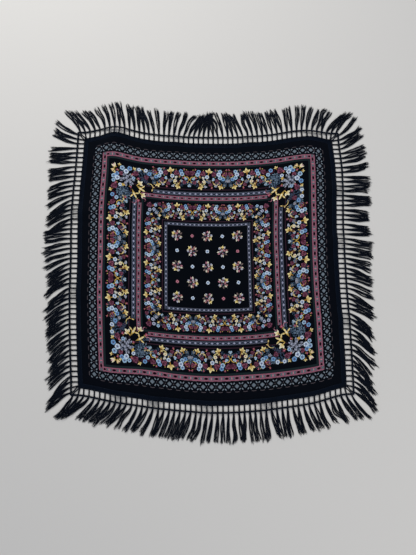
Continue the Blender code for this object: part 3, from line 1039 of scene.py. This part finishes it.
def lock_lines(side, chance):
    """Where each lock of a side starts, how far it goes along the side, and how far out."""
    table = np.array(LEANS[side], float)
    lean = np.interp(LOCK_PLACES, table[:, 0], table[:, 1])
    lean = np.radians(lean + chance.normal(0, LEAN_SPREAD, LOCKS_PER_SIDE))
    root = LOCK_PLACES * CORD_HALF
    tip = root + LOCK_LENGTH * np.sin(lean)
    # Neighbouring locks lie together in loose bunches of two to four.
    start = 0
    while start < LOCKS_PER_SIDE:
        bunch = slice(start, min(start + int(chance.integers(2, 5)), LOCKS_PER_SIDE))
        tip[bunch] += (tip[bunch].mean() - tip[bunch]) * chance.uniform(0.0, BUNCH_PULL)
        start = bunch.stop
    length = LOCK_LENGTH * (1.0 + chance.normal(0, LENGTH_SPREAD, LOCKS_PER_SIDE))
    reach = tip - root
    return root, reach, np.sqrt(np.maximum(length**2 - reach**2, SHORTEST_RUN**2))


def make_fringe(side, material):
    """The ladder bars and loose locks of one side: yarns that run from the tape to the tips."""
    chance = np.random.default_rng([SEED, SIDES.index(side)])
    n = LOCKS_PER_SIDE
    # The axes are lock, strand, yarn and step.
    root, reach, run = (a[:, None, None, None] for a in lock_lines(side, chance))

    def draw(spread, *shape):
        return chance.normal(0, spread, shape + (1,))

    strand = np.linspace(-1.0, 1.0, STRANDS)[None, :, None, None]
    strand = strand + draw(STRAND_DRIFT, n, STRANDS, 1)
    turn = 2 * math.pi * np.arange(YARNS) / YARNS
    turn = turn[None, None, :, None] + chance.uniform(0, 2 * math.pi, (n, STRANDS, 1, 1))

    # The bar, from under the tape to the cord.
    t = np.linspace(0.0, 1.0, BAR_STEPS)
    bar_r = TRIM_HALF - BAR_LAP + (LADDER_LENGTH + BAR_LAP + CORD_WIDTH / 2) * t
    twist = turn + BAR_TWIST * math.pi * t
    held = np.clip(root, BAR_INSET - TRIM_HALF, TRIM_HALF - BAR_INSET)
    bar_s = held + (root - held) * smooth_step(t) + strand * BAR_SPREAD + BAR_COIL * np.cos(twist)
    bar_z = BAR_LIFT + BAR_WAVE * np.cos(2 * math.pi * t) + BAR_COIL * np.sin(twist)

    # The lock, from the cord to its ragged tip.
    q = np.linspace(0.0, 1.0, LOCK_STEPS + 1)[1:]
    q = q * (1.0 + draw(STRAND_RAGGED, n, STRANDS, 1) + draw(YARN_RAGGED, n, STRANDS, YARNS))
    parted = smooth_step(q * OPENING)
    twist = turn + math.pi * (BAR_TWIST + LOCK_TWIST * q)
    loose = LOCK_COIL + OPEN_COIL * parted + abs(draw(LOOSE_COIL, n, STRANDS, YARNS)) * q**2
    across = strand * (LOCK_SPREAD + OPEN_SPREAD * parted + TIP_SPREAD * q) + loose * np.cos(twist)
    sway = draw(LOCK_SWAY, n, 1, 1) + draw(STRAND_SWAY, n, STRANDS, 1)
    across = across + sway * q * np.sin(SWAYS * math.pi * q + chance.uniform(0, 6.3, (n, 1, 1, 1)))
    across = across + draw(TIP_DRIFT, n, STRANDS, YARNS) * q**3
    slope = reach * BEND * q ** (BEND - 1.0)
    size = np.hypot(slope, run)
    lock_s = root + reach * q**BEND + across * run / size
    lock_r = CORD_HALF - CORD_WIDTH / 2 + run * q - across * slope / size
    lift = LOCK_LIFT - LOCK_SINK * smooth_step(q * SINKING) + loose * LOCK_FLATNESS * np.sin(twist)
    lock_z = np.maximum(lift, YARN_RADIUS + FLOOR_GAP)

    shape = (n * STRANDS * YARNS, BAR_STEPS + LOCK_STEPS)
    bar_r = np.broadcast_to(bar_r, bar_s.shape)
    parts = ((bar_s, lock_s), (bar_r, lock_r), (bar_z, lock_z))
    s, r, z = (np.concatenate(pair, axis=3).reshape(shape) for pair in parts)
    radii = np.full(shape, YARN_RADIUS * MM)
    radii[:, -1] *= TIP_TAPER
    return tube_piece(f"fringe_yarn_{side}", [(place_all(side, s, r, z), radii, 3)], material)


CORD_PLIES = 3
CORD_STEP = 2.6
PLY_RADIUS, PLY_TURN = 1.75, 13.0
PLY_WIDTH, PLY_HEIGHT = 1.15, 0.8  # how far a ply's middle swings, in its radii
EDGE_PLY_RADIUS, EDGE_PLY_TURN, EDGE_CORD_OUT = 0.8, 6.0, 0.6
LOOP_RADIUS, LOOP_HALF, LOOP_RISE, LOOP_TILT = 0.8, 3.1, 3.6, 1.6
LOOP_OUT, LOOP_FOOT, LOOP_LOWEST = 1.5, 1.2, 0.9


def twisted(side, r, ply, turn, lift, half):
    """The plies of a twisted cord that runs along one side."""
    steps = int(2 * half / CORD_STEP)
    s = np.linspace(-half, half, steps)[None, :]
    angle = 2 * math.pi * (s / turn + np.arange(CORD_PLIES)[:, None] / CORD_PLIES)
    out, up = ply * PLY_WIDTH * np.cos(angle), ply * PLY_HEIGHT * np.sin(angle)
    return place_all(side, s + 0 * angle, r + out, lift + up), ply * MM, 5


def make_cord(side, material):
    """The cord across the bars, the finer one at the tape's edge and the loop round each bar."""
    r, edge_r = CORD_HALF - CORD_WIDTH / 2, TRIM_HALF + EDGE_CORD_OUT
    batches = [
        twisted(side, r, PLY_RADIUS, PLY_TURN, CORD_LIFT, r),
        twisted(side, edge_r, EDGE_PLY_RADIUS, EDGE_PLY_TURN, EDGE_CORD_LIFT, TRIM_HALF),
    ]
    turn = np.radians(np.linspace(-20, 200, 9))[None, :]
    s = LOCK_PLACES[:, None] * r + LOOP_HALF * np.cos(turn)
    z = LOOP_FOOT + LOOP_RISE * np.sin(turn)
    tilt = LOOP_TILT * np.cos(turn)
    paths = place_all(side, s, r + LOOP_OUT + tilt + 0 * s, np.maximum(z + 0 * s, LOOP_LOWEST))
    batches.append((paths, LOOP_RADIUS * MM, 5))
    return tube_piece(f"fringe_cord_{side}", batches, material)


# Across the tape, from 0 at the cloth to 1 at the bars, and the height in mm.
TAPE_PROFILE = (
    (0.0, 0.25), (0.0, 1.7), (0.06, 2.15), (0.35, 2.3), (0.65, 2.3), (0.94, 2.15), (1.0, 1.6), (1.0, 0.25),
)
RIB = 2.4
RIB_HEIGHT = 0.14


def make_tape(side, material):
    """The ribbed tape of one side, its ends cut on the corner's diagonal."""
    profile = np.array(TAPE_PROFILE)
    r = TRIM_HALF - TAPE_WIDTH + profile[:, 0] * TAPE_WIDTH
    count = int(2 * TRIM_HALF / RIB) * 2
    t = np.linspace(-1.0, 1.0, count + 1)
    rib = RIB_HEIGHT * np.where(np.arange(count + 1) % 2, 1.0, -1.0)
    s = t[:, None] * r[None, :]
    z = profile[None, :, 1] + rib[:, None] * (profile[None, :, 1] > 1.0)
    points = place_all(side, s, r[None, :] + 0 * s, z)
    number = np.arange(points.shape[0] * points.shape[1]).reshape(points.shape[:2])
    after = np.roll(number, -1, axis=1)
    walls = np.stack([number[:-1], number[1:], after[1:], after[:-1]], axis=-1).reshape(-1, 4)
    if side in ("near", "right"):
        walls = walls[:, ::-1]
    caps = [number[0], number[-1][::-1]] if side in ("far", "left") else [number[0][::-1], number[-1]]
    corners = np.concatenate([walls.ravel(), *caps])
    starts = np.concatenate([np.arange(len(walls)) * 4, len(walls) * 4 + np.arange(2) * len(profile)])
    mesh = new_mesh(f"tape_{side}", points.reshape(-1, 3), corners, starts)
    along = np.broadcast_to((t[:, None] + 1) / 2, number.shape)
    across = np.broadcast_to((np.arange(len(profile)) / len(profile))[None, :], number.shape)
    set_uv(mesh, "OFBake", np.stack([along.ravel(), across.ravel()], axis=-1)[corners])
    return new_piece(f"tape_{side}", mesh, material)


STITCH_PITCH = 4.6
STITCH_LENGTH = 3.4
STITCH_RADIUS = 0.32
STITCH_ROWS = (1.6, TAPE_WIDTH - 1.9)
STITCH_TOP, STITCH_DIP, STITCH_SLANT = 2.62, 0.55, 0.12
STITCH_END = 4.0  # how far from the corner a row ends


def make_stitches(side, material):
    """Two rows of short stitches that hold the tape to the cloth."""
    batches = []
    for inset in STITCH_ROWS:
        r = TRIM_HALF - TAPE_WIDTH + inset
        count = int(2 * (r - STITCH_END) / STITCH_PITCH)
        middle = (np.arange(count) - (count - 1) / 2.0) * STITCH_PITCH
        t = np.linspace(-1.0, 1.0, 5)[None, :]
        s = middle[:, None] + t * STITCH_LENGTH / 2
        paths = place_all(side, s, r + STITCH_SLANT * t, STITCH_TOP - STITCH_DIP * t**4 + 0 * s)
        batches.append((paths, STITCH_RADIUS * MM, 4))
    return tube_piece(f"stitches_{side}", batches, material)


# Materials.


class Nodes:
    """Short names for building one material's nodes."""

    def __init__(self, name):
        self.material = bpy.data.materials.new(name)
        self.material.use_nodes = True
        self.tree = self.material.node_tree
        self.shader = self.tree.nodes["Principled BSDF"]

    def add(self, kind, inputs=(), **settings):
        node = self.tree.nodes.new(kind)
        for key, value in settings.items():
            setattr(node, key, value)
        for key, value in dict(inputs).items():
            self.feed(node.inputs[key], value)
        return node

    def feed(self, socket, value):
        if isinstance(value, bpy.types.NodeSocket):
            self.tree.links.new(value, socket)
        else:
            socket.default_value = value

    def surface(self, values):
        """Sets or links the shader's own sockets."""
        for key, value in values.items():
            self.feed(self.shader.inputs[key], value)
        return self.material

    def math(self, operation, a, b=0.0):
        return self.add("ShaderNodeMath", {0: a, 1: b}, operation=operation).outputs[0]

    def noise(self, vector, scale, detail=3.0):
        made = self.add("ShaderNodeTexNoise", {"Vector": vector, "Scale": scale, "Detail": detail})
        return made.outputs["Fac"]

    def span(self, value, low, high):
        made = self.add("ShaderNodeMapRange", {"Value": value, "To Min": low, "To Max": high})
        return made.outputs["Result"]


WEAVE_PITCH = 0.0011  # one thread and its gap, in metres
SHEEN_TINT = (0.55, 0.72, 1.0, 1.0)


def cloth_material():
    """Printed wool: the charted colours, a fine plain weave, soft nap and slight crumple."""
    n = Nodes("printed_wool")
    print_ = n.add("ShaderNodeVertexColor", layer_name="print").outputs["Color"]
    flat = n.add("ShaderNodeUVMap", uv_map="flat").outputs["UV"]
    where = n.add("ShaderNodeSeparateXYZ", {"Vector": flat})
    thread = 2 * math.pi / WEAVE_PITCH
    warp, weft = (n.math("SINE", n.math("MULTIPLY", where.outputs[axis], thread)) for axis in "XY")
    weave = n.math("MULTIPLY", warp, weft)
    mottle = n.noise(flat, 900.0)
    cloudy = n.noise(flat, 14.0)
    tone = n.math("MULTIPLY", n.span(mottle, 0.66, 1.26), n.span(cloudy, 0.84, 1.10))
    tone = n.math("MULTIPLY", tone, n.span(weave, 0.97, 1.06))
    colour = n.add("ShaderNodeVectorMath", {0: print_, "Scale": tone}, operation="SCALE")
    crumple = n.noise(flat, 30.0, 4.0)
    height = n.math("ADD", n.math("MULTIPLY", weave, 0.00006), n.math("MULTIPLY", crumple, 0.0022))
    bump = n.add("ShaderNodeBump", {"Height": height, "Strength": 0.7, "Distance": 1.0})
    return n.surface({
        "Base Color": colour.outputs["Vector"],
        "Roughness": n.span(cloudy, 0.78, 0.92),
        "Normal": bump.outputs["Normal"],
        "Sheen Weight": 0.03,
        "Sheen Roughness": 0.5,
        "Sheen Tint": SHEEN_TINT,
        "Specular IOR Level": 0.04,
    })


def yarn_material(name, light, dark, twist, sheen, specular):
    """Twisted navy yarn: slanting plies and uneven dye."""
    n = Nodes(name)
    where = n.add("ShaderNodeTexCoord").outputs["Object"]
    broad = n.noise(where, 38.0)
    fine = n.noise(where, 900.0, 2.0)
    mix = n.add("ShaderNodeMix", {"Factor": broad}, data_type="RGBA")
    n.feed(mix.inputs["A"], (*linear(dark), 1.0))
    n.feed(mix.inputs["B"], (*linear(light), 1.0))
    tone = n.span(fine, 0.6, 1.4)
    colour = n.add("ShaderNodeVectorMath", {0: mix.outputs["Result"], "Scale": tone}, operation="SCALE")
    slant = {"Vector": where, "Scale": twist, "Distortion": 2.0}
    wave = n.add("ShaderNodeTexWave", slant, bands_direction="DIAGONAL")
    bump = n.add("ShaderNodeBump", {"Height": wave.outputs["Fac"], "Strength": 0.5, "Distance": 0.0004})
    return n.surface({
        "Base Color": colour.outputs["Vector"],
        "Roughness": n.span(fine, 0.6, 0.85),
        "Normal": bump.outputs["Normal"],
        "Sheen Weight": sheen,
        "Sheen Roughness": 0.4,
        "Sheen Tint": SHEEN_TINT,
        "Specular IOR Level": specular,
    })


wool = cloth_material()
yarn = yarn_material("fringe_yarn", "0a1220", "04070f", twist=260.0, sheen=0.04, specular=0.10)
thread = yarn_material("sewing_thread", "101c2c", "0a131f", twist=900.0, sheen=0.05, specular=0.2)
braid = yarn_material("trim_cord", "0a1422", "050b14", twist=320.0, sheen=0.04, specular=0.12)
ribbon = yarn_material("trim_tape", "08111e", "040912", twist=420.0, sheen=0.02, specular=0.04)

cloth = make_cloth(wool)
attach(cloth, "root")
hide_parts("cloth_panel")
for side in SIDES:
    for make, material in (
        (make_tape, ribbon), (make_cord, braid), (make_fringe, yarn), (make_stitches, thread)
    ):
        piece = make(side, material)
        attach(piece, "root")
        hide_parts(f"fringe_{side}")


# Floor, light and camera.

FLOOR_HALF = 6.0
floor_corners = np.array([(-1, -1, 0), (1, -1, 0), (1, 1, 0), (-1, 1, 0)]) * FLOOR_HALF
plain = Nodes("pale_floor")
plain.surface({"Base Color": (*linear("d9d5cd"), 1.0), "Roughness": 0.75})
floor = new_piece("floor", new_mesh("floor", floor_corners, np.arange(4), np.array([0])), plain.material)


def area_light(name, at, size, power):
    """A square light at a place, turned to the scarf."""
    data = bpy.data.lights.new(name, "AREA")
    data.shape = "SQUARE"
    data.size = size
    data.energy = power
    lamp = bpy.data.objects.new(name, data)
    lamp.location = at
    lamp.rotation_euler = (-Vector(at)).to_track_quat("-Z", "Y").to_euler()
    bpy.context.scene.collection.objects.link(lamp)


area_light("window", (-1.2, 2.6, 2.4), 1.6, 75.0)
area_light("fill", (1.8, -1.6, 2.2), 2.2, 26.0)
world = bpy.data.worlds.new("studio")
world.use_nodes = True
world.node_tree.nodes["Background"].inputs["Color"].default_value = (0.80, 0.86, 1.0, 1.0)
world.node_tree.nodes["Background"].inputs["Strength"].default_value = 0.45
bpy.context.scene.world = world
bpy.context.scene.view_settings.view_transform = "Standard"

# The photograph's lens and place, worked out from the scarf's outline in it.
SENSOR = 36.0
LENS_PIXELS = 417.0
LONG_SIDE_PIXELS = 555.0
CAMERA_TILT = math.radians(7.6)  # from straight down
CAMERA_HEIGHT = 1.45
CAMERA_BACK = 0.245  # from the flat scarf's middle
CAMERA_LEFT = 0.001

camera_data = bpy.data.cameras.new("camera")
camera_data.sensor_width = SENSOR
camera_data.lens = SENSOR * LENS_PIXELS / LONG_SIDE_PIXELS
camera = bpy.data.objects.new("camera", camera_data)
camera.location = (SHIFT[0] - CAMERA_LEFT, SHIFT[1] - CAMERA_BACK, CAMERA_HEIGHT)
camera.rotation_euler = (CAMERA_TILT, 0.0, 0.0)
bpy.context.scene.collection.objects.link(camera)
bpy.context.scene.camera = camera
